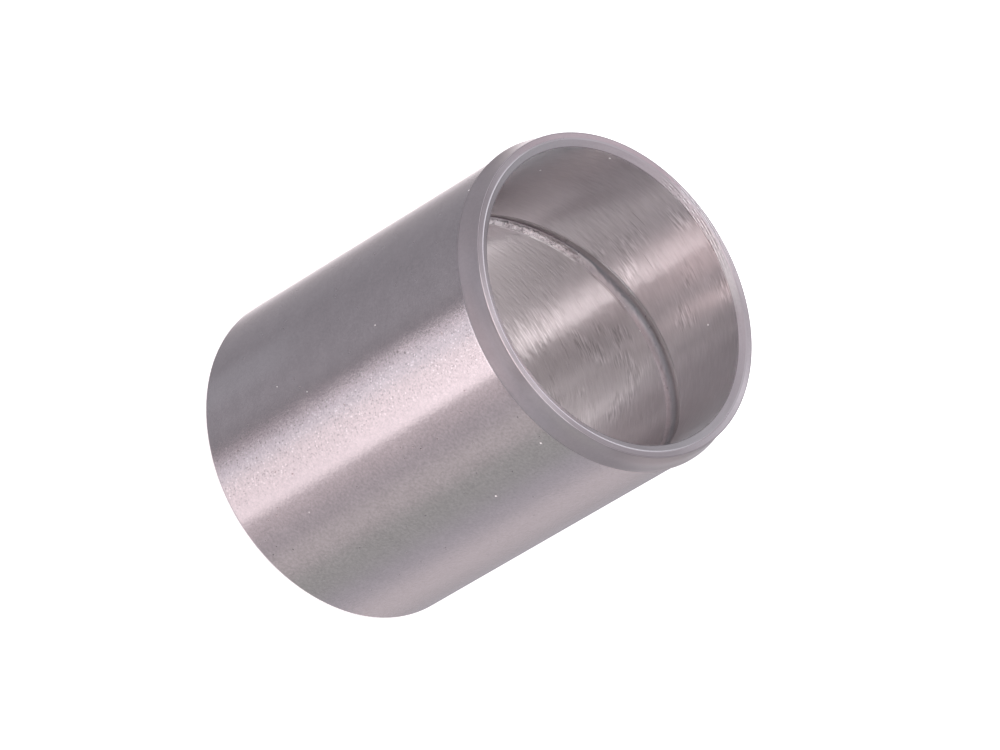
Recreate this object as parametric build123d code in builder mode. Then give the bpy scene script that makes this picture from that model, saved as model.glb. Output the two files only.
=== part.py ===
"""Press fit bushing: one turned and ground steel sleeve, with a helical oil groove in its bore.

It stands on its entry end. +Z runs up the bore and out of the mouth, and the origin is the centre
of the bottom face. All sizes are in millimetres.
"""

import os

from build123d import *

# The bore, the wall between it and the press fit, and the height.
bore_diameter = 45.0
wall = 2.5
length = 63.5

# The collar at the mouth: a low shoulder, then a hollow band that narrows up to the face.
collar_rise = 0.375
collar_width = 3.6
collar_shoulder = 0.35
band_hollow = 0.12
mouth_face_width = 0.95

# The lead-in round the bottom, which enters the housing first.
lead_in_width = 0.6
lead_in_height = 0.8

# The flat cone inside each end of the bore.
bore_cone_width = 1.15
bore_cone_depth = 0.6

# The break on the corners of both end faces.
edge_break = 0.15

# The oil groove, one left-hand turn and a little more, with a round bottom and round ends.
groove_width = 3.2
groove_depth = 0.8
groove_pitch = 38.0
groove_end_margin = 9.0
groove_start_angle = 56.0

bore_radius = bore_diameter / 2
body_radius = bore_radius + wall
collar_radius = body_radius + collar_rise
bore_cone_radius = bore_radius + bore_cone_width
mouth_face_radius = bore_cone_radius + mouth_face_width
ridge_height = length - collar_width

# The round cutter that leaves a groove of this width and depth.
cutter_radius = groove_width**2 / (8 * groove_depth) + groove_depth / 2
cutter_path_radius = bore_radius + groove_depth - cutter_radius
groove_rise = length - 2 * groove_end_margin

with BuildPart() as bushing:
    # Half of the wall's section, out from the bore and up from the bottom face.
    with BuildSketch(Plane.XZ) as wall_section:
        with BuildLine():
            outside = Polyline(
                (bore_radius, bore_cone_depth),
                (bore_cone_radius, 0),
                (body_radius - lead_in_width, 0),
                (body_radius, lead_in_height),
                (body_radius, ridge_height - collar_shoulder),
                (collar_radius, ridge_height),
            )
            band = SagittaArc(outside @ 1, (mouth_face_radius, length), band_hollow)
            Polyline(
                band @ 1,
                (bore_cone_radius, length),
                (bore_radius, length - bore_cone_depth),
                outside @ 0,
            )
        make_face()
        end_face_corners = wall_section.vertices().group_by(Axis.Y)
        chamfer(end_face_corners[0] + end_face_corners[-1], edge_break)
    revolve(axis=Axis.Z)

    # The oil groove, cut along its helix, and a ball at each end where the cutter lifts out.
    with BuildLine(Plane.XY.offset(groove_end_margin)) as groove_path:
        Helix(groove_pitch, groove_rise, cutter_path_radius, lefthand=True)
    groove_line = groove_path.edge().rotate(Axis.Z, groove_start_angle)
    with BuildSketch(Plane(origin=groove_line @ 0, z_dir=groove_line % 0)):
        Circle(cutter_radius)
    sweep(path=groove_line, is_frenet=True, mode=Mode.SUBTRACT)
    with Locations(groove_line @ 0, groove_line @ 1):
        Sphere(cutter_radius, mode=Mode.SUBTRACT)

bushing.part.label = "bushing"

os.makedirs("parts", exist_ok=True)
export_step(bushing.part, "parts/bushing.step")
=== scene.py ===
"""Press fit bushing, dressed for its picture: a turned and ground steel sleeve on a white floor.

It stands on its entry end, as the solid does, with +Z out of the mouth. All sizes are in metres,
and the sizes of the object are written in millimetres times MM.
"""

import math

import bpy
from mathutils import Matrix, Vector


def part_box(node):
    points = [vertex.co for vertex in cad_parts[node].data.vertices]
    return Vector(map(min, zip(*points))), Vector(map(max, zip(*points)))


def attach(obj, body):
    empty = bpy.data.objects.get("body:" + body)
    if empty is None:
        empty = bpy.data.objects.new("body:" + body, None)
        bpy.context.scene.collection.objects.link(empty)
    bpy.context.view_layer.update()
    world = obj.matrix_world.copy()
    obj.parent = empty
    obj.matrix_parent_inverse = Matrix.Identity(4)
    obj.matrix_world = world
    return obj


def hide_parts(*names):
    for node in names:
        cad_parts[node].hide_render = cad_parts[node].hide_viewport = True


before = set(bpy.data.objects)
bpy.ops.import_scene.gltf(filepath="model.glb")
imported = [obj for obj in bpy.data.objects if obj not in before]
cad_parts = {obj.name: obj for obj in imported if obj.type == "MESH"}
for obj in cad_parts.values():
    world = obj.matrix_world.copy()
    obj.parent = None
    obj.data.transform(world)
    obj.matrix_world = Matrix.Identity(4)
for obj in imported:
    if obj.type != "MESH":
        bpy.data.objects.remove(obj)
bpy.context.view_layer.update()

MM = 0.001
low_corner, high_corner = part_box("bushing")

# The wall's section, as in the solid.
bore_radius = 22.5 * MM
wall = 2.5 * MM
length = high_corner.z - low_corner.z
collar_rise = 0.375 * MM
collar_width = 3.6 * MM
collar_shoulder = 0.35 * MM
band_hollow = 0.12 * MM
mouth_face_width = 0.95 * MM
lead_in_width = 0.6 * MM
lead_in_height = 0.8 * MM
bore_cone_width = 1.15 * MM
bore_cone_depth = 0.6 * MM

body_radius = bore_radius + wall
collar_radius = body_radius + collar_rise
bore_cone_radius = bore_radius + bore_cone_width
mouth_face_radius = bore_cone_radius + mouth_face_width
ridge_height = length - collar_width

# The rounds on its corners.
face_corner_round = 0.1 * MM
worn_corner_round = 0.26 * MM
bore_corner_round = 0.1 * MM
ridge_round = 0.06 * MM
round_steps = 4

# The oil groove.
groove_width = 3.2 * MM
groove_depth = 0.8 * MM
groove_pitch = 38.0 * MM
groove_end_margin = 9.0 * MM
groove_start_angle = math.radians(56.0)
cutter_radius = groove_width**2 / (8 * groove_depth) + groove_depth / 2
cutter_path_radius = bore_radius + groove_depth - cutter_radius
groove_rise = length - 2 * groove_end_margin
groove_turn = -2 * math.pi * groove_rise / groove_pitch

# How finely the mesh is divided.
ring_sides = 288
bore_rings = 34
band_rings = 6
cutter_stations = 220
cutter_sides = 40
same_place = 0.002 * MM
smooth_below = math.radians(32)


# Shader sums

MIX_A, MIX_B, MIX_RESULT = 6, 7, 2


class Wire:
    """A shader socket that takes part in sums and feeds other nodes."""

    def __init__(self, socket):
        self.socket = socket

    def node(self, kind, settings, sockets, output=0):
        """Adds a node beside this one, sets it up, then fills its sockets with values or wires."""
        made = self.socket.id_data.nodes.new(kind)
        for name, value in settings.items():
            if name == "stops":
                set_stops(made.color_ramp, value)
            else:
                setattr(made, name, value)
        for name, value in sockets.items():
            if isinstance(value, Wire):
                self.socket.id_data.links.new(value.socket, made.inputs[name])
            else:
                made.inputs[name].default_value = value
        return Wire(made.outputs[output])

    def math(self, operation, first, second=0.0):
        return self.node("ShaderNodeMath", {"operation": operation}, {0: first, 1: second})

    def __add__(self, other):
        return self.math("ADD", self, other)

    def __radd__(self, other):
        return self.math("ADD", other, self)

    def __sub__(self, other):
        return self.math("SUBTRACT", self, other)

    def __rsub__(self, other):
        return self.math("SUBTRACT", other, self)

    def __mul__(self, other):
        return self.math("MULTIPLY", self, other)

    def __rmul__(self, other):
        return self.math("MULTIPLY", other, self)

    def __truediv__(self, other):
        return self.math("DIVIDE", self, other)

    def __gt__(self, other):
        return self.math("GREATER_THAN", self, other)

    def __lt__(self, other):
        return self.math("LESS_THAN", self, other)

    def root(self):
        return self.math("SQRT", self)

    def step(self, start, end):
        """0 up to start, 1 past end, and a smooth change between. Start may be the higher one."""
        return self.node(
            "ShaderNodeMapRange",
            {"interpolation_type": "SMOOTHSTEP"},
            {"Value": self, "From Min": start, "From Max": end},
        )

    def between(self, start, full, last, end):
        """0 up to start, 1 from full to last, and 0 again from end, with smooth sides."""
        return self.step(start, full) * self.step(end, last)

    def parts(self):
        """The X, Y and Z of a vector."""
        split = self.node("ShaderNodeSeparateXYZ", {}, {"Vector": self}).socket.node
        return [Wire(socket) for socket in split.outputs]

    def vector(self, x, y, z):
        return self.node("ShaderNodeCombineXYZ", {}, {"X": x, "Y": y, "Z": z})

    def blend(self, first, second):
        """The first colour where this is 0, and the second where it is 1."""
        sockets = {0: self, MIX_A: first, MIX_B: second}
        return self.node("ShaderNodeMix", {"data_type": "RGBA"}, sockets, MIX_RESULT)

    def noise(self, scale, detail, roughness):
        """Soft noise at this vector, around 0.5."""
        sockets = {"Vector": self, "Scale": scale, "Detail": detail, "Roughness": roughness}
        return self.node("ShaderNodeTexNoise", {}, sockets)

    def specks(self, scale, size, share):
        """1 in round specks, this wide in cells of the scale, in this share of the cells."""
        near = self.node("ShaderNodeTexVoronoi", {}, {"Vector": self, "Scale": scale})
        chance = Wire(near.socket.node.outputs["Color"]).parts()[0]
        return near.step(size, size / 2) * (chance < share)

    def ramp(self, stops):
        """The colour at this place among stops of (place, colour)."""
        return self.node("ShaderNodeValToRGB", {"stops": stops}, {"Fac": self})


def set_stops(ramp, stops):
    """Gives a colour ramp these stops in place of its own."""
    while len(ramp.elements) > 1:
        ramp.elements.remove(ramp.elements[0])
    ramp.elements[0].position = stops[0][0]
    ramp.elements[0].color = (*stops[0][1], 1.0)
    for place, colour in stops[1:]:
        ramp.elements.new(place).color = (*colour, 1.0)


def grey(level, tint=(1.0, 1.0, 1.0)):
    return tuple(level * part for part in tint)


# Materials

# The steels, each from its darkest to its lightest grain, and the round between face and cone
# from unlit to with its painted highlight.
steel_dark = (0.56, 0.505, 0.53, 1.0)
steel_light = (0.74, 0.67, 0.70, 1.0)
cool_dark = (0.535, 0.515, 0.555, 1.0)
cool_light = (0.705, 0.68, 0.73, 1.0)
face_dark = (0.54, 0.485, 0.505, 1.0)
face_light = (0.70, 0.635, 0.66, 1.0)
rosy_dark = (0.585, 0.472, 0.50, 1.0)
rosy_light = (0.765, 0.617, 0.654, 1.0)
plain_dark = (0.505, 0.495, 0.505, 1.0)
plain_light = (0.66, 0.648, 0.66, 1.0)
edge_unlit = (0.40, 0.36, 0.375, 1.0)
edge_lit = (0.60, 0.545, 0.57, 1.0)
bore_dark = (0.53, 0.50, 0.512, 1.0)
bore_light = (0.73, 0.69, 0.708, 1.0)

# Single colours: steel lightened as a painted highlight or sheen, shade painted over it, and
# pits, stains and dust on it.
highlight_steel = (0.88, 0.83, 0.86, 1.0)
edge_far_grey = (0.46, 0.42, 0.44, 1.0)
highlight_white = (1.0, 0.98, 0.99, 1.0)
sheen_grey = (0.84, 0.91, 0.95, 1.0)
cool_shade_colour = (0.30, 0.335, 0.355, 1.0)
pit_and_shade_colour = (0.20, 0.17, 0.18, 1.0)
dust_colour = (0.92, 0.92, 0.92, 1.0)
no_glow = (0.0, 0.0, 0.0, 1.0)
dust_glow_in_bore = (0.3, 0.3, 0.3, 1.0)

# How much painted shade lies on the end faces and their cones, as (degrees from +Y towards +X, share).
face_shade = [
    (-180, 0.3), (-165, 0.08), (-150, 0.48), (-135, 0.68), (-120, 0.76), (-105, 0.58), (-90, 0.54),
    (-75, 0.42), (-45, 0.36), (-30, 0.40), (-15, 0.02), (0, 0.05), (15, 0.17), (30, 0.46), (45, 0.34),
    (60, 0.06), (75, 0.3), (90, 0.44), (105, 0.68), (120, 0.71), (135, 0.66), (150, 0.56),
    (165, 0.08), (180, 0.3),
]
cone_shade = [
    (-180, 0.34), (-165, 0.3), (-150, 0.5), (-135, 0.74), (-120, 0.82), (-105, 0.78), (-90, 0.75),
    (-60, 0.63), (-45, 0.6), (-30, 0.38), (-15, 0.01), (0, 0.22), (15, 0.0), (30, 0.38), (45, 0.64),
    (75, 0.6), (90, 0.68), (105, 0.74), (120, 0.7), (135, 0.52), (150, 0.54), (165, 0.26), (180, 0.34),
]

# Specks of white dust, as (degrees from +Y towards +X, distance from the axis, height).
dust_radius = 0.2 * MM
dust_specks = [
    (-66.0, bore_radius, 54.5 * MM),
    (-49.0, bore_radius, 62.0 * MM),
    (27.5, bore_radius, 57.0 * MM),
    (16.0, bore_radius, 43.5 * MM),
    (141.0, body_radius, 42.0 * MM),
    (-113.0, body_radius, 58.6 * MM),
    (150.0, body_radius, 57.0 * MM),
]
fine_dust_radius = 0.12 * MM
fine_dust = [
    (-147.2, body_radius, 40.3 * MM),
    (-155.2, body_radius, 23.6 * MM),
    (-147.8, body_radius, 17.4 * MM),
    (170.0, body_radius, 13.5 * MM),
]

# Small dark stains on the body, as (degrees from +Y towards +X, distance from the axis, height).
stain_radius = 0.26 * MM
stains = [
    (-161.2, body_radius, 45.2 * MM),
    (-159.6, body_radius, 43.8 * MM),
]

# Fine scratches round the bore, as (degrees where it starts and ends, height).
scratch_width = 0.12 * MM
scratch_fade = 3.0
bore_scratches = [
    (-12.0, -2.0, 29.2 * MM), (-1.0, 13.0, 28.1 * MM), (-9.0, 0.0, 51.0 * MM), (-25.0, -15.0, 54.8 * MM),
    (-22.0, -13.0, 53.2 * MM), (4.0, 12.0, 57.6 * MM),
]


def start_material(name):
    """A new material, its output node, and the wire of the object's own coordinates."""
    material = bpy.data.materials.new(name)
    material.use_nodes = True
    material.node_tree.nodes.clear()
    end = material.node_tree.nodes.new("ShaderNodeOutputMaterial")
    place = Wire(material.node_tree.nodes.new("ShaderNodeTexCoord").outputs["Object"])
    return material, end, place


def degrees_round(x, y):
    """How many degrees round the axis this place lies, from +Y towards +X, or from -Y with y turned over."""
    return x.math("ARCTAN2", x, y) * (180 / math.pi)


def above_groove(place):
    """How far this place lies above the middle of the oil groove, along the axis."""
    x, y, z = place.parts()
    turns = (z - groove_end_margin) / groove_pitch
    turns = turns + (y.math("ARCTAN2", y, x) - groove_start_angle) / (2 * math.pi)
    return (turns.math("FRACT", turns + 0.5) - 0.5) * groove_pitch


def spotted(place, spots, size):
    """1 in these spots of (degrees, distance from the axis, height), and 0 elsewhere."""
    found = None
    for degrees, radius, height in spots:
        angle = math.radians(degrees)
        middle = (radius * math.sin(angle), radius * math.cos(angle), height)
        ends = {0: place, 1: middle}
        away = place.node("ShaderNodeVectorMath", {"operation": "DISTANCE"}, ends, "Value")
        there = away.step(size, size / 2)
        found = there if found is None else found + there
    return found


def dusted(place, colour):
    """The colour with the dust specks on it, and where they are."""
    dust = spotted(place, dust_specks, dust_radius) + spotted(place, fine_dust, fine_dust_radius)
    return dust.blend(colour, dust_colour), dust


def scratched(place):
    """1 along the scratches in the bore."""
    x, y, z = place.parts()
    degrees = degrees_round(x, y)
    scratches = None
    for start, end, height in bore_scratches:
        along = degrees.between(start, start + scratch_fade, end - scratch_fade, end)
        across = z.math("ABSOLUTE", z - height).step(scratch_width, scratch_width / 4)
        line = along * across
        scratches = line if scratches is None else scratches + line
    return scratches


def finish_steel(
    material, end, colour, roughness, height, bump_depth, grain_pull, metallic=1.0, dust_glow=None
):
    """Joins colour, roughness and height to a steel shader. grain_pull is how strongly turning
    marks, which run round the axis, draw highlights out along it. Dust may glow faintly, where
    little light reaches it."""
    normal = colour.node(
        "ShaderNodeBump", {}, {"Strength": 1.0, "Distance": bump_depth, "Height": height}
    )
    across_the_marks = 0.25
    sockets = {
        "Base Color": colour,
        "Metallic": metallic,
        "Roughness": roughness,
        "Anisotropic": grain_pull,
        "Anisotropic Rotation": across_the_marks,
        "Normal": normal,
    }
    if dust_glow is not None:
        sockets["Emission Color"] = dust_glow
        sockets["Emission Strength"] = 1.0
    steel = colour.node("ShaderNodeBsdfPrincipled", {}, sockets)
    material.node_tree.links.new(steel.socket, end.inputs["Surface"])
    return material


def ground_wall():
    """The outside of the body: ground to a fine satin grain, with a few pits and stains, and painted
    glints. A strip down the front is coarser and is painted darker towards the bottom as shade, and
    the grain to the right of it is a little stronger. Painted sheen makes the wall paler low on the
    left, and a painted highlight runs in front close under the shoulder."""
    material, end, place = start_material("ground_wall")
    x, y, z = place.parts()
    degrees = degrees_round(x, -1.0 * y)
    coarse = degrees.between(-27.0, -17.0, -8.0, 1.0)
    mild = degrees.between(1.0, 8.0, 28.0, 44.0)
    front = degrees.between(-26.0, -21.0, 1.0, 4.0)
    low_left_sheen = degrees.between(-54.0, -46.0, -42.0, -34.0) * z.step(27.0 * MM, 13.0 * MM)

    grain = place.noise(2500.0, 1.0, 0.5)
    cloud = place.noise(300.0, 3.0, 0.6)
    pits = place.specks(1300.0, 0.24, 0.03)
    dots = place.specks(3000.0, 0.5, 0.2) * (0.15 + coarse * 0.85)
    glints = place.specks(2800.0, 0.5, 0.15) * (0.1 + coarse * 0.9)
    shade = 0.5 + (grain - 0.5) * (0.8 + mild * 0.7 + coarse * 0.9) + (cloud - 0.5) * 0.6
    steel = shade.blend(steel_dark, steel_light)
    # Painted glints: bright specks, most of them in the coarse strip.
    steel = (glints * 0.75).blend(steel, highlight_steel)
    # Painted sheen, low on the left.
    steel = (low_left_sheen * 0.4).blend(steel, highlight_steel)

    # Painted shade: the front strip darker towards the bottom, added to the pits, dots and stains.
    front_shade = front * z.step(52.0 * MM, 10.0 * MM) * (0.15 + 0.22 * degrees.step(-13.0, -20.0))
    marks = pits * 0.4 + dots * 0.42 + front_shade + spotted(place, stains, stain_radius) * 0.6
    steel = marks.blend(steel, pit_and_shade_colour)
    # A painted highlight in front close under the shoulder.
    shoulder_highlight = z.step(ridge_height - 0.75 * MM, ridge_height - 0.55 * MM) * front
    steel = (shoulder_highlight * 0.45).blend(steel, highlight_steel)
    colour, dust = dusted(place, steel)
    roughness = 0.25 + (cloud - 0.5) * 0.04 + pits * 0.2
    height = grain * (0.35 + mild * 0.3 + coarse * 0.65) - pits * 0.4
    return finish_steel(
        material, end, colour, roughness, height,
        bump_depth=0.018 * MM, grain_pull=1.0, metallic=1.0 - dust,
    )


def collar_wall():
    """The band round the mouth: turned smooth and even, cooler in tone in front, with painted sheen low
    on the right. Painted shade lies close under the face, in front and on the right, and along the
    ridge and the rim. The near rim has a painted highlight."""
    material, end, place = start_material("collar_wall")
    x, y, z = place.parts()
    degrees = degrees_round(x, -1.0 * y)
    cooler = degrees.between(-46.0, -26.0, 22.0, 36.0)
    near_side = degrees.between(-150.0, -110.0, 110.0, 150.0)
    rim = z.step(length - 0.16 * MM, length - 0.06 * MM)

    grain = place.noise(2600.0, 1.0, 0.5)
    cloud = place.noise(300.0, 2.0, 0.5)
    shade = 0.5 + (grain - 0.5) * 0.5 + (cloud - 0.5) * 0.3
    steel = shade.blend(steel_dark, steel_light)
    steel = (cooler * 0.55).blend(steel, shade.blend(cool_dark, cool_light))
    # Painted sheen, low on the right.
    low_right_sheen = degrees.step(50.0, 68.0) * z.step(length - 1.4 * MM, length - 2.6 * MM) * near_side
    steel = (low_right_sheen * 0.7).blend(steel, highlight_steel)

    # Painted shade close under the face, along the ridge and along the rim.
    painted_shade = degrees.between(-26.0, -14.0, 4.0, 16.0) * 0.38 + degrees.step(40.0, 54.0) * 0.32
    painted_shade = painted_shade * z.step(length - 2.0 * MM, length - 0.7 * MM) * near_side
    painted_shade = painted_shade + degrees.between(-38.0, -26.0, -6.0, 2.0) * 0.1
    painted_shade = painted_shade + z.step(ridge_height + 0.12 * MM, ridge_height + 0.02 * MM) * 0.45 + rim * 0.3
    steel = painted_shade.blend(steel, pit_and_shade_colour)
    # A painted highlight on the near rim.
    painted_highlight = rim * y.step(-20.0 * MM, -22.0 * MM)
    colour = (painted_highlight * 0.8).blend(steel, highlight_steel)
    roughness = 0.38 + (grain - 0.5) * 0.06
    return finish_steel(
        material, end, colour, roughness, grain, bump_depth=0.003 * MM, grain_pull=0.0
    )


def faced_end():
    """The end faces and the cones in them: faced on a lathe, so the marks are rings, with painted glints
    on the far side. The face is rosier on the left, and the cone plainer on the far side. Painted
    shade lies unevenly over them, and along the rim and the brim of the bore. The near rim has a
    painted highlight."""
    material, end, place = start_material("faced_end")
    x, y, _ = place.parts()
    radius = (x * x + y * y).root()
    degrees = degrees_round(x, y)
    cone = radius.step(bore_cone_radius, bore_cone_radius - 0.15 * MM)
    rim = radius.step(mouth_face_radius - 0.2 * MM, mouth_face_radius - 0.06 * MM)
    brim = radius.step(bore_radius + 0.2 * MM, bore_radius + 0.06 * MM)

    rings = place.vector(x * 300.0, y * 300.0, radius * 3400.0).noise(1.0, 1.0, 0.5)
    grain = place.noise(2300.0, 2.0, 0.6)
    shade = 0.6 + (rings - 0.5) * 0.9 + (grain - 0.5) * 0.9
    steel = shade.blend(face_dark, face_light)
    rosy = degrees.between(-104.0, -88.0, -26.0, -14.0) * (1.0 - cone)
    steel = (rosy * 0.9).blend(steel, shade.blend(rosy_dark, rosy_light))
    plain = degrees.between(-8.0, 0.0, 22.0, 32.0) * cone
    steel = plain.blend(steel, shade.blend(plain_dark, plain_light))

    # Painted glints on the turning marks: a fine spiral of bright and dark lines, broken into dashes.
    dashes = place.vector(x * 1700.0, y * 1700.0, radius * 3000.0).noise(1.0, 0.0, 0.5)
    sheen_patch = dashes.step(0.42, 0.56) * degrees.between(-30.0, -21.0, -2.0, 18.0)
    spiral = radius * 3000.0 + degrees * 0.06
    lines = spiral.math("FRACT", spiral).between(0.2, 0.45, 0.6, 0.85)
    steel = (lines * sheen_patch * 0.9).blend(steel, highlight_white)

    round_place = degrees / 360 + 0.5
    face_share, cone_share = (
        round_place.ramp([(angle / 360 + 0.5, grey(share)) for angle, share in film])
        for film in (face_shade, cone_shade)
    )
    # Painted shade: the listed shares, the dark lines of the glints, the brim of the bore and the rim.
    painted_shade = cone.blend(face_share, cone_share) + (1.0 - lines) * sheen_patch * 0.4 + brim * 0.5
    painted_shade = painted_shade + rim * (0.35 * y.step(-23.0 * MM, -19.0 * MM) + 0.35 * y.step(3.0 * MM, 12.0 * MM))
    steel = painted_shade.blend(steel, pit_and_shade_colour)
    # A painted highlight on the near rim.
    painted_highlight = radius.step(mouth_face_radius - 0.12 * MM, mouth_face_radius - 0.04 * MM)
    colour = (painted_highlight * y.step(-20.0 * MM, -22.0 * MM) * 0.8).blend(steel, highlight_steel)
    roughness = 0.34 + (grain - 0.5) * 0.12
    height = rings * 0.5 + grain * 0.5
    return finish_steel(
        material, end, colour, roughness, height, bump_depth=0.035 * MM, grain_pull=0.85
    )


def highlit_edge():
    """The round between the end face and its cone, with a painted highlight: bright on the near side
    and a little on the left, plain on the far side, and there, in the middle, as light as the face."""
    material, end, place = start_material("highlit_edge")
    x, y, _ = place.parts()
    grain = place.noise(2300.0, 3.0, 0.6)
    left = x.step(-6.0 * MM, -16.0 * MM) * y.step(8.0 * MM, -8.0 * MM)
    # A painted highlight, bright on the near side and a little on the left.
    painted_highlight = y.step(0.0, -24.0 * MM) + 0.3 * left
    steel = (painted_highlight * (0.55 + grain * 0.9)).blend(edge_unlit, edge_lit)
    # The far side is plain, and painted as light as the face in the middle.
    far = y.step(2.0 * MM, 12.0 * MM)
    sheen_patch = x.between(-11.0 * MM, -7.0 * MM, 3.0 * MM, 9.0 * MM)
    colour = far.blend(steel, sheen_patch.blend(edge_far_grey, face_light))
    roughness = 0.22 + far * 0.12 + (grain - 0.5) * 0.1
    return finish_steel(
        material, end, colour, roughness, grain, bump_depth=0.004 * MM, grain_pull=0.0
    )


def honed_bore():
    """The bore: honed, with short fine streaks that run round it. Patches of its far side are combed
    with pale hairs and scored with dark ones. Painted shade makes it dimmer in a few strips, and
    painted sheen lighter at its sides and, below the mouth, on the left. Close under the groove it has
    a painted highlight on the left and painted shade in the middle."""
    material, end, place = start_material("honed_bore")
    x, y, z = place.parts()
    degrees = degrees_round(x, y)
    below_groove = z.step(42.5 * MM, 40.0 * MM)

    streaks = place.vector(x * 420.0, y * 420.0, z * 2500.0).noise(1.0, 1.0, 0.5)
    hairs = place.vector(x * 560.0, y * 560.0, z * 3500.0).noise(1.0, 1.0, 0.5)
    patches = place.noise(190.0, 1.0, 0.5).step(0.46, 0.64)
    last_comb = degrees + (1.0 - below_groove) * 16.0
    combed = degrees.step(-24.0, -12.0) * last_comb.step(52.0, 40.0) * patches
    shade = 0.5 + (streaks - 0.5) * 0.6 + (hairs - 0.5) * (0.5 + combed * 3.2)
    steel = shade.blend(bore_dark, bore_light)
    steel = (hairs.step(0.56, 0.68) * combed * 0.3).blend(steel, highlight_white)
    scored = combed * (0.1 + 0.2 * degrees.between(2.0, 6.0, 15.0, 20.0))
    steel = (hairs.step(0.44, 0.32) * scored).blend(steel, pit_and_shade_colour)

    # Painted shade: dimmer strips, some only below the groove or beside it.
    dim = degrees.between(-41.0, -34.0, -22.0, -12.0) * 0.12 * below_groove
    dim = dim + degrees.between(4.0, 10.0, 13.0, 19.0) * (0.06 + 0.12 * below_groove)
    dim = dim + degrees.between(19.0, 23.0, 30.0, 35.0) * 0.12
    by_the_groove = z.between(32.5 * MM, 36.0 * MM, 45.0 * MM, 47.0 * MM)
    dim = dim + degrees.between(38.0, 43.0, 49.0, 54.0) * 0.16 * by_the_groove
    steel = dim.blend(steel, pit_and_shade_colour)
    # A slanting streak of painted shade between the groove and the mouth.
    slant = 507.0
    slanted = degrees + (length - z) * slant
    dim_streak = slanted.between(-36.0, -32.0, -29.0, -25.0) * (1.0 - below_groove)
    steel = (dim_streak * z.step(58.0 * MM, 50.0 * MM) * 0.12).blend(steel, pit_and_shade_colour)

    # Painted sheen at the sides and, below the mouth, on the left.
    sides = x.math("ABSOLUTE", x).step(14.0 * MM, 20.0 * MM)
    steel = (sides * 0.22).blend(steel, highlight_white)
    low_left_sheen = degrees.between(-170.0, -110.0, -45.0, -37.0) * z.step(55.0 * MM, 49.0 * MM)
    steel = (low_left_sheen * 0.33).blend(steel, highlight_white)

    above_middle = above_groove(place)
    mottle = place.noise(900.0, 2.0, 0.6)
    under = above_middle.step(-2.1 * MM, -1.92 * MM) * (above_middle < 0.0) * (z > 20.0 * MM)
    # A painted highlight close under the left of the groove, and painted shade under its middle.
    lit_strip = under * degrees.between(-60.0, -48.0, -24.0, -13.0)
    steel = (lit_strip * (0.7 + (mottle - 0.5) * 3.0)).blend(steel, highlight_white)
    lip_shade = under * degrees.between(-14.0, -10.0, 4.0, 9.0)
    steel = (lip_shade * 0.4).blend(steel, pit_and_shade_colour)
    steel = (scratched(place) * 0.4).blend(steel, pit_and_shade_colour)

    colour, dust = dusted(place, steel)
    roughness = 0.31 + (streaks - 0.5) * 0.1
    height = streaks * 0.6 + hairs * 0.4
    return finish_steel(
        material, end, colour, roughness, height, bump_depth=0.075 * MM, grain_pull=1.0,
        metallic=1.0 - dust, dust_glow=dust.blend(no_glow, dust_glow_in_bore),
    )


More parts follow.
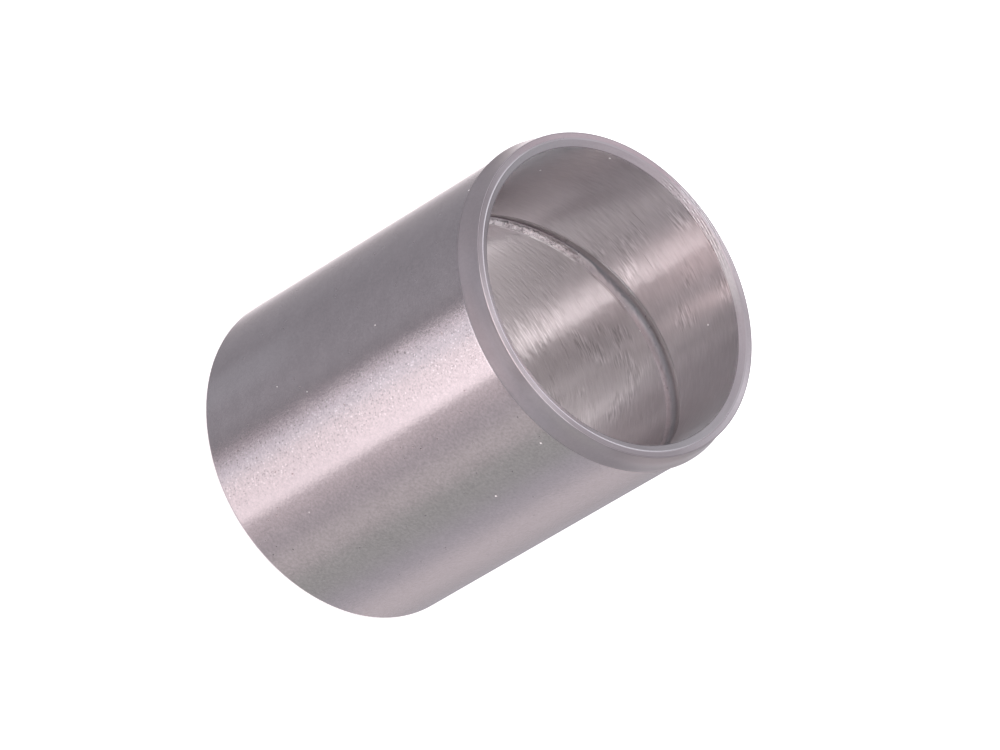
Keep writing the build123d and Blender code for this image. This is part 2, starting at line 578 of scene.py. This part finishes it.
def milled_groove():
    """The oil groove: its mouth side is painted dark as shade, under a lip with a painted highlight. Its
    other side is rough where the cutter tore it on the left, with painted glints there, is painted a
    cool dim grey in the middle, with a lip of painted shade, and is painted lighter on the right."""
    material, end, place = start_material("milled_groove")
    x, y, _ = place.parts()
    radius = (x * x + y * y).root()
    degrees = degrees_round(x, y)
    above_middle = above_groove(place)
    left = degrees.between(-175.0, -120.0, -26.0, -8.0)
    right = degrees.between(18.0, 42.0, 120.0, 175.0)
    sparkling = degrees.between(-62.0, -44.0, -28.0, -14.0)
    lit_strip = above_middle.step(-0.55 * MM, -1.25 * MM)
    low = above_middle.step(-0.8 * MM, -1.45 * MM)

    grain = place.noise(1900.0, 3.0, 0.7)
    mottle = place.noise(900.0, 2.0, 0.6)
    glints = place.specks(2300.0, 0.55, 0.5)
    shade = 0.5 + (grain - 0.5) * 2.4
    steel = shade.blend(bore_dark, bore_light)
    # Painted shade over the groove, less of it on the right.
    painted_shade = 0.7 - right * 0.25 - (0.08 + left * 0.2) * above_middle.step(0.55 * MM, 0.1 * MM)
    painted_shade = painted_shade + left * 0.4 * above_middle.step(-0.3 * MM, -0.55 * MM)
    steel = painted_shade.blend(steel, pit_and_shade_colour)

    # Painted sheen on the lower side, more of it to the right.
    groove_sheen = above_middle.step(0.0, -0.65 * MM) * (1.0 - low * 0.85)
    groove_sheen = groove_sheen * (0.45 + degrees.step(-2.0, 9.0) * 0.55) * (1.0 - left)
    steel = (groove_sheen * 0.54).blend(steel, sheen_grey)
    # A cool painted shade in the middle.
    cool_shade = above_middle.step(-0.2 * MM, -0.6 * MM) * degrees.between(-34.0, -16.0, 6.0, 14.0)
    cool_shade = cool_shade * (0.45 + 0.3 * degrees.step(-7.0, -13.0))
    steel = cool_shade.blend(steel, cool_shade_colour)

    # The lit side on the left: painted bright, with painted glints where it sparkles.
    bright = 0.3 + sparkling * 0.35 + low * 0.35 + (mottle - 0.5) * 3.4
    bright = (glints * (0.2 + sparkling * 0.8)).blend(bright.blend(bore_dark, highlight_white), highlight_white)
    steel = (left * lit_strip).blend(steel, bright)
    # Painted shade where the bright left part ends.
    shaded_patch = lit_strip * degrees.between(-26.0, -18.0, -12.0, -6.0)
    steel = (shaded_patch * 0.3).blend(steel, pit_and_shade_colour)

    # A lip of painted shade in the middle, along the lower edge.
    edge = radius.step(bore_radius + 0.1 * MM, bore_radius + 0.03 * MM)
    lip_shadow = edge * low * degrees.between(-16.0, -10.0, 2.0, 8.0)
    steel = (lip_shadow * 0.35).blend(steel, pit_and_shade_colour)
    # A painted highlight along the lip on the mouth side.
    painted_highlight = 0.32 + 0.5 * degrees.between(-16.0, -10.0, 2.0, 6.0)
    colour = (painted_highlight * above_middle.step(0.46 * MM, 0.7 * MM)).blend(steel, highlight_white)
    roughness = 0.38 + (grain - 0.5) * 0.6
    lean = 1500.0
    height = grain * 0.3 + (grain * 1.2 + glints * 0.4 - above_middle * lean) * left * lit_strip
    return finish_steel(
        material, end, colour, roughness, height, bump_depth=0.24 * MM, grain_pull=0.0
    )


# The sleeve

def wall_rings():
    """The rings of the wall's section as (radius, height), from the bore's bottom edge outward,
    up the outside, in over the mouth and down the bore to the start."""
    rings = [
        (bore_radius, bore_cone_depth),
        (bore_cone_radius, 0.0),
        (body_radius - lead_in_width, 0.0),
        (body_radius, lead_in_height),
        (body_radius, ridge_height - collar_shoulder),
        (collar_radius, ridge_height),
    ]
    for step in range(1, band_rings + 1):
        along = step / band_rings
        hollow = 4 * band_hollow * along * (1 - along)
        radius = collar_radius + (mouth_face_radius - collar_radius) * along - hollow
        rings.append((radius, ridge_height + collar_width * along))
    rings.append((bore_cone_radius, length))
    bore_top = length - bore_cone_depth
    for step in range(bore_rings + 1):
        along = step / bore_rings
        rings.append((bore_radius, bore_top + (bore_cone_depth - bore_top) * along))
    return rings


def select_rings(piece, rings):
    """Selects the edges of a turned piece that lie along these rings of (radius, height)."""
    bpy.ops.object.mode_set(mode="EDIT")
    bpy.ops.mesh.select_mode(type="EDGE")
    bpy.ops.mesh.select_all(action="DESELECT")
    bpy.ops.object.mode_set(mode="OBJECT")
    points = [(math.hypot(v.co.x, v.co.y), v.co.z) for v in piece.data.vertices]
    for edge in piece.data.edges:
        first, second = (points[index] for index in edge.vertices)
        edge.select = any(
            math.dist(first, ring) < same_place and math.dist(second, ring) < same_place
            for ring in rings
        )
    bpy.ops.object.mode_set(mode="EDIT")


def round_rings(piece, rings, size):
    """Rounds the corners along these rings."""
    select_rings(piece, rings)
    bpy.ops.mesh.bevel(offset=size, offset_type="WIDTH", segments=round_steps, profile=0.5)
    bpy.ops.object.mode_set(mode="OBJECT")


def turned_sleeve():
    """One ring of points, drawn out along the wall's section till it closes on itself."""
    rings = wall_rings()
    bpy.ops.object.select_all(action="DESELECT")
    bpy.ops.mesh.primitive_circle_add(
        vertices=ring_sides, radius=rings[0][0], location=(0, 0, rings[0][1])
    )
    sleeve = bpy.context.object
    sleeve.name = "steel_sleeve"
    bpy.ops.object.transform_apply()
    bpy.ops.object.mode_set(mode="EDIT")
    for (radius, height), (next_radius, next_height) in zip(rings, rings[1:]):
        rise = (0, 0, next_height - height)
        bpy.ops.mesh.extrude_region_move(TRANSFORM_OT_translate={"value": rise})
        widen = next_radius / radius
        bpy.ops.transform.resize(value=(widen, widen, 1), center_override=(0, 0, next_height))
    bpy.ops.mesh.select_all(action="SELECT")
    bpy.ops.mesh.remove_doubles(threshold=same_place / 4)
    bpy.ops.mesh.normals_make_consistent(inside=False)
    bpy.ops.object.mode_set(mode="OBJECT")

    face_corners = [
        (bore_cone_radius, 0.0), (body_radius - lead_in_width, 0.0), (mouth_face_radius, length)
    ]
    bore_corners = [(bore_radius, bore_cone_depth), (bore_radius, length - bore_cone_depth)]
    ridge_corners = [(collar_radius, ridge_height), (body_radius, lead_in_height)]
    round_rings(sleeve, face_corners, face_corner_round)
    round_rings(sleeve, [(bore_cone_radius, length)], worn_corner_round)
    round_rings(sleeve, bore_corners, bore_corner_round)
    round_rings(sleeve, ridge_corners, ridge_round)
    return sleeve


def groove_cutter():
    """The space that the round cutter swept: a tube along the helix, with a ball at each end."""
    path = bpy.data.curves.new("groove_cutter", "CURVE")
    path.dimensions = "3D"
    line = path.splines.new("POLY")
    line.points.add(cutter_stations)
    ends = []
    for station, point in enumerate(line.points):
        along = station / cutter_stations
        angle = groove_start_angle + groove_turn * along
        place = Vector((cutter_path_radius * math.cos(angle), cutter_path_radius * math.sin(angle),
                        groove_end_margin + groove_rise * along))
        point.co = (*place, 1.0)
        if station in (0, cutter_stations):
            ends.append(place)
    path.bevel_depth = cutter_radius
    path.bevel_resolution = cutter_sides // 4 - 2
    path.use_fill_caps = True
    tube = bpy.data.objects.new("groove_cutter", path)
    bpy.context.collection.objects.link(tube)
    bpy.ops.object.select_all(action="DESELECT")
    tube.select_set(True)
    bpy.context.view_layer.objects.active = tube
    bpy.ops.object.convert(target="MESH")
    cutters = [bpy.context.object]
    for place in ends:
        bpy.ops.mesh.primitive_uv_sphere_add(
            segments=cutter_sides, ring_count=cutter_sides // 2, radius=cutter_radius, location=place
        )
        cutters.append(bpy.context.object)
    return cutters


def cut_groove(sleeve, groove_steel):
    """Takes the cutters out of the sleeve, and gives what they cut the groove's steel."""
    for cutter in groove_cutter():
        cutter.data.materials.clear()
        cutter.data.materials.append(groove_steel)
        bpy.context.view_layer.objects.active = sleeve
        cut = sleeve.modifiers.new("oil groove", "BOOLEAN")
        cut.operation = "DIFFERENCE"
        cut.solver = "EXACT"
        cut.material_mode = "TRANSFER"
        cut.object = cutter
        bpy.ops.object.modifier_apply(modifier=cut.name)
        bpy.data.objects.remove(cutter)


def give_zones(sleeve, zones):
    """Gives each face of the sleeve the steel of its zone, by the face's place on the section."""
    for steel in zones.values():
        sleeve.data.materials.append(steel)
    slots = {name: slot for slot, name in enumerate(zones)}
    face_zone_depth = bore_cone_depth + bore_corner_round
    face_edge = mouth_face_radius - face_corner_round * 0.8
    bore_edge = bore_radius + same_place * 8
    collar_foot = ridge_height - collar_shoulder * 1.1
    for face in sleeve.data.polygons:
        radius = math.hypot(face.center.x, face.center.y)
        height = face.center.z
        from_end = min(height, length - height)
        if radius < bore_edge and from_end > bore_cone_depth:
            zone = "bore"
        elif math.dist((radius, height), (bore_cone_radius, length)) < worn_corner_round / 2:
            zone = "edge"
        elif height > collar_foot and radius > face_edge:
            zone = "collar"
        elif from_end < face_zone_depth and radius < body_radius - lead_in_width:
            zone = "end"
        else:
            zone = "body"
        face.material_index = slots[zone]


def steel_sleeve():
    """The sleeve with its steels and its groove, in place of the solid."""
    sleeve = turned_sleeve()
    zones = {
        "body": ground_wall(), "collar": collar_wall(), "end": faced_end(), "edge": highlit_edge(),
        "bore": honed_bore(),
    }
    give_zones(sleeve, zones)
    cut_groove(sleeve, milled_groove())
    bpy.ops.object.select_all(action="DESELECT")
    sleeve.select_set(True)
    bpy.context.view_layer.objects.active = sleeve
    bpy.ops.object.shade_smooth_by_angle(angle=smooth_below)
    even = sleeve.modifiers.new("even normals", "WEIGHTED_NORMAL")
    even.keep_sharp = True
    bpy.ops.object.modifier_apply(modifier=even.name)
    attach(sleeve, "root")
    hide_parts("bushing")


# The light

pink = (1.0, 0.94, 0.95)
rose = (1.10, 0.87, 0.86)
beige = (1.02, 0.97, 0.93)
green = (0.93, 1.0, 0.91)
cool = (0.97, 0.97, 1.03)
cold = (0.91, 1.0, 1.04)

# Rings of soft cards, as (degrees from -Y towards +X, level, tint). The camera stands at -Y.
low_cards = [
    (-180, 0.3, pink), (-174, 1.5, pink), (-170, 3.7, pink), (-165, 3.2, pink), (-156, 1.2, pink),
    (-144, 0.47, pink), (-125, 0.36, cool), (-105, 0.33, cool), (-60, 0.32, cool), (-47, 0.2, cool),
    (-41, 0.9, cool), (-30, 1.44, cool), (-22, 1.72, pink), (-8, 1.84, pink), (2, 2.0, pink),
    (7, 0.74, pink), (18, 0.56, pink), (30, 0.55, pink), (38, 0.68, beige), (48, 0.58, beige),
    (58, 0.48, green), (74, 0.48, green), (84, 0.52, cool), (94, 0.56, cool), (112, 0.88, pink),
    (130, 0.84, pink), (144, 0.48, pink), (157, 0.76, cool), (164, 0.4, cool), (172, 0.22, cool),
    (180, 0.2, cool),
]
middle_cards = [
    (-180, 0.2, cool), (-164, 0.25, cool), (-140, 0.1, cool), (-112, 0.38, cool), (-90, 0.3, cool),
    (-52, 0.46, cool), (-37, 0.2, cool), (-6, 0.22, cool), (30, 0.33, cool), (80, 0.32, cool),
    (105, 0.2, cool), (146, 0.2, cool), (164, 0.4, cool), (180, 0.3, cool),
]
high_cards = [
    (-180, 1.4, cool), (-152, 1.4, cold), (-140, 1.4, cold), (-124, 1.4, cold), (-108, 0.9, cold),
    (-88, 0.75, cool), (-41, 0.4, cool), (-38, 5.2, rose), (-28, 5.2, rose), (-25, 1.1, cool),
    (-22, 1.2, cool), (-17, 3.9, rose), (3, 3.7, rose), (5, 2.5, rose), (15, 2.6, rose),
    (18, 1.1, cool), (34, 0.95, cool), (38, 2.3, pink), (43, 2.3, pink), (46, 0.6, cool),
    (66, 0.55, cool), (85, 0.65, cool), (89, 1.5, beige), (97, 1.5, beige), (101, 0.9, cool),
    (115, 1.4, cold), (138, 1.4, cold), (152, 1.4, cold), (180, 1.4, cool),
]
top_cards = [
    (-180, 0.9, cool), (-145, 0.9, cool), (-112, 1.2, cool), (-88, 1.5, cool), (-72, 1.3, cool),
    (-60, 0.4, cool), (-48, 0.4, cool), (-44, 1.5, rose), (-32, 1.6, rose), (-29, 0.45, cool),
    (-19, 0.45, cool), (-13, 2.4, rose), (2, 2.4, rose), (5, 2.1, rose), (16, 2.1, rose),
    (19, 0.35, cool), (38, 0.35, cool), (42, 1.3, pink), (48, 1.1, pink), (54, 0.4, cool),
    (68, 1.0, cool), (88, 1.4, cool), (98, 1.2, cool), (145, 0.9, cool), (180, 0.9, cool),
]

# Each ring with the steepness at which it takes over from the ring below, as the Z of a
# direction: it starts at the first and is there by the second.
card_rings = [
    (-0.9, -0.82, low_cards), (-0.56, -0.44, middle_cards), (0.04, 0.2, high_cards),
    (0.42, 0.58, top_cards),
]
light_from_below = (0.82, 0.81, 0.84, 1.0)
light_from_above = (0.9, 0.86, 0.89, 1.0)
white = (1.0, 1.0, 1.0, 1.0)

floor_size = 6.0
floor_paint = (0.8, 0.8, 0.8, 1.0)
floor_glow = 0.6

# The light under the bore, as (degrees from -Y towards +X, level).
bore_floor_radius = bore_radius - 1.0 * MM
bore_floor_height = -0.3 * MM
bore_floor_sides = 64
bore_floor_tint = (1.0, 0.94, 0.94)
bore_floor_brightest = 6.0
bore_floor_patches = [
    (-180, 0.9), (-127, 0.8), (-121, 4.3), (-110, 4.3), (-104, 0.2), (-84, 0.05), (-45, 0.0),
    (-8, 0.0), (-3, 3.0), (24, 2.9), (32, 0.1), (80, 0.1), (123, 0.2), (130, 3.9), (146, 4.2),
    (152, 0.9), (180, 0.9),
]


def ring_of_light(x, y, cards):
    """The colour of these cards in this direction."""
    round_place = x.math("ARCTAN2", x, -1.0 * y) / (2 * math.pi) + 0.5
    return round_place.ramp([(degrees / 360 + 0.5, grey(level, tint)) for degrees, level, tint in cards])


def light_tent():
    """Soft cards all round the object, as the world's light. The camera sees white in their place."""
    world = bpy.data.worlds.new("light_tent")
    world.use_nodes = True
    world.node_tree.nodes.clear()
    end = world.node_tree.nodes.new("ShaderNodeOutputWorld")
    toward = Wire(world.node_tree.nodes.new("ShaderNodeTexCoord").outputs["Generated"])
    x, y, z = toward.parts()
    tent = light_from_below
    for start, full, cards in card_rings:
        tent = z.step(start, full).blend(tent, ring_of_light(x, y, cards))
    tent = z.step(0.82, 0.9).blend(tent, light_from_above)
    seen = toward.node("ShaderNodeLightPath", {}, {}, "Is Camera Ray")
    background = toward.node(
        "ShaderNodeBackground", {}, {"Color": seen.blend(tent, white), "Strength": 1.0}
    )
    world.node_tree.links.new(background.socket, end.inputs["Surface"])
    bpy.context.scene.world = world


def white_floor():
    """A white floor that takes the object's soft shadow and doesn't show in the steel."""
    bpy.ops.object.select_all(action="DESELECT")
    bpy.ops.mesh.primitive_plane_add(size=floor_size)
    floor = bpy.context.object
    floor.name = "floor"
    floor.visible_glossy = False
    floor.visible_shadow = False
    material, end, place = start_material("floor_white")
    seen = place.node("ShaderNodeLightPath", {}, {}, "Is Camera Ray")
    paint = place.node("ShaderNodeBsdfDiffuse", {}, {"Color": floor_paint})
    glow = place.node("ShaderNodeEmission", {}, {"Color": white, "Strength": seen * floor_glow})
    both = place.node("ShaderNodeAddShader", {}, {0: paint, 1: glow})
    material.node_tree.links.new(both.socket, end.inputs["Surface"])
    floor.data.materials.append(material)


def bore_floor():
    """A disc of light under the open bottom of the bore. It shows in the steel, and not to the
    camera."""
    bpy.ops.object.select_all(action="DESELECT")
    bpy.ops.mesh.primitive_circle_add(
        vertices=bore_floor_sides, radius=bore_floor_radius, fill_type="NGON",
        location=(0, 0, bore_floor_height),
    )
    floor = bpy.context.object
    floor.name = "bore_floor"
    floor.visible_camera = False
    floor.visible_diffuse = False
    material, end, place = start_material("bore_floor")
    x, y, _ = place.parts()
    patches = [
        (degrees, level / bore_floor_brightest, bore_floor_tint)
        for degrees, level in bore_floor_patches
    ]
    glow = place.node(
        "ShaderNodeEmission", {},
        {"Color": ring_of_light(x, y, patches), "Strength": bore_floor_brightest},
    )
    material.node_tree.links.new(glow.socket, end.inputs["Surface"])
    floor.data.materials.append(material)


# The camera

def photo_camera():
    """The photograph's view: down into the mouth, with the axis slanting up to the right."""
    view_angle = math.radians(45.794)
    roll = math.radians(30.736)
    lens = 372.8
    distance = 1.452
    picture_width = 1000
    picture_centre = (500, 375)
    mouth_pixel = (616.06, 294.19)

    data = bpy.data.cameras.new("photo_camera")
    data.lens = lens
    data.sensor_width = 36.0
    data.clip_start = 0.05
    data.clip_end = 20.0
    camera = bpy.data.objects.new("photo_camera", data)
    bpy.context.collection.objects.link(camera)
    ahead = Vector((0, math.sin(view_angle), -math.cos(view_angle)))
    right = Vector((math.sin(roll), math.cos(roll) * math.cos(view_angle),
                    math.cos(roll) * math.sin(view_angle)))
    up = right.cross(ahead)
    metres_a_pixel = distance * data.sensor_width / (lens * picture_width)
    mouth = Vector((0, 0, length))
    aside = (mouth_pixel[0] - picture_centre[0]) * metres_a_pixel
    below = (mouth_pixel[1] - picture_centre[1]) * metres_a_pixel
    place = mouth - distance * ahead - aside * right + below * up
    turn = Matrix((right, up, -ahead)).transposed().to_4x4()
    camera.matrix_world = Matrix.Translation(place) @ turn
    bpy.context.scene.camera = camera


steel_sleeve()
white_floor()
bore_floor()
light_tent()
photo_camera()
bpy.context.scene.view_settings.view_transform = "Standard"
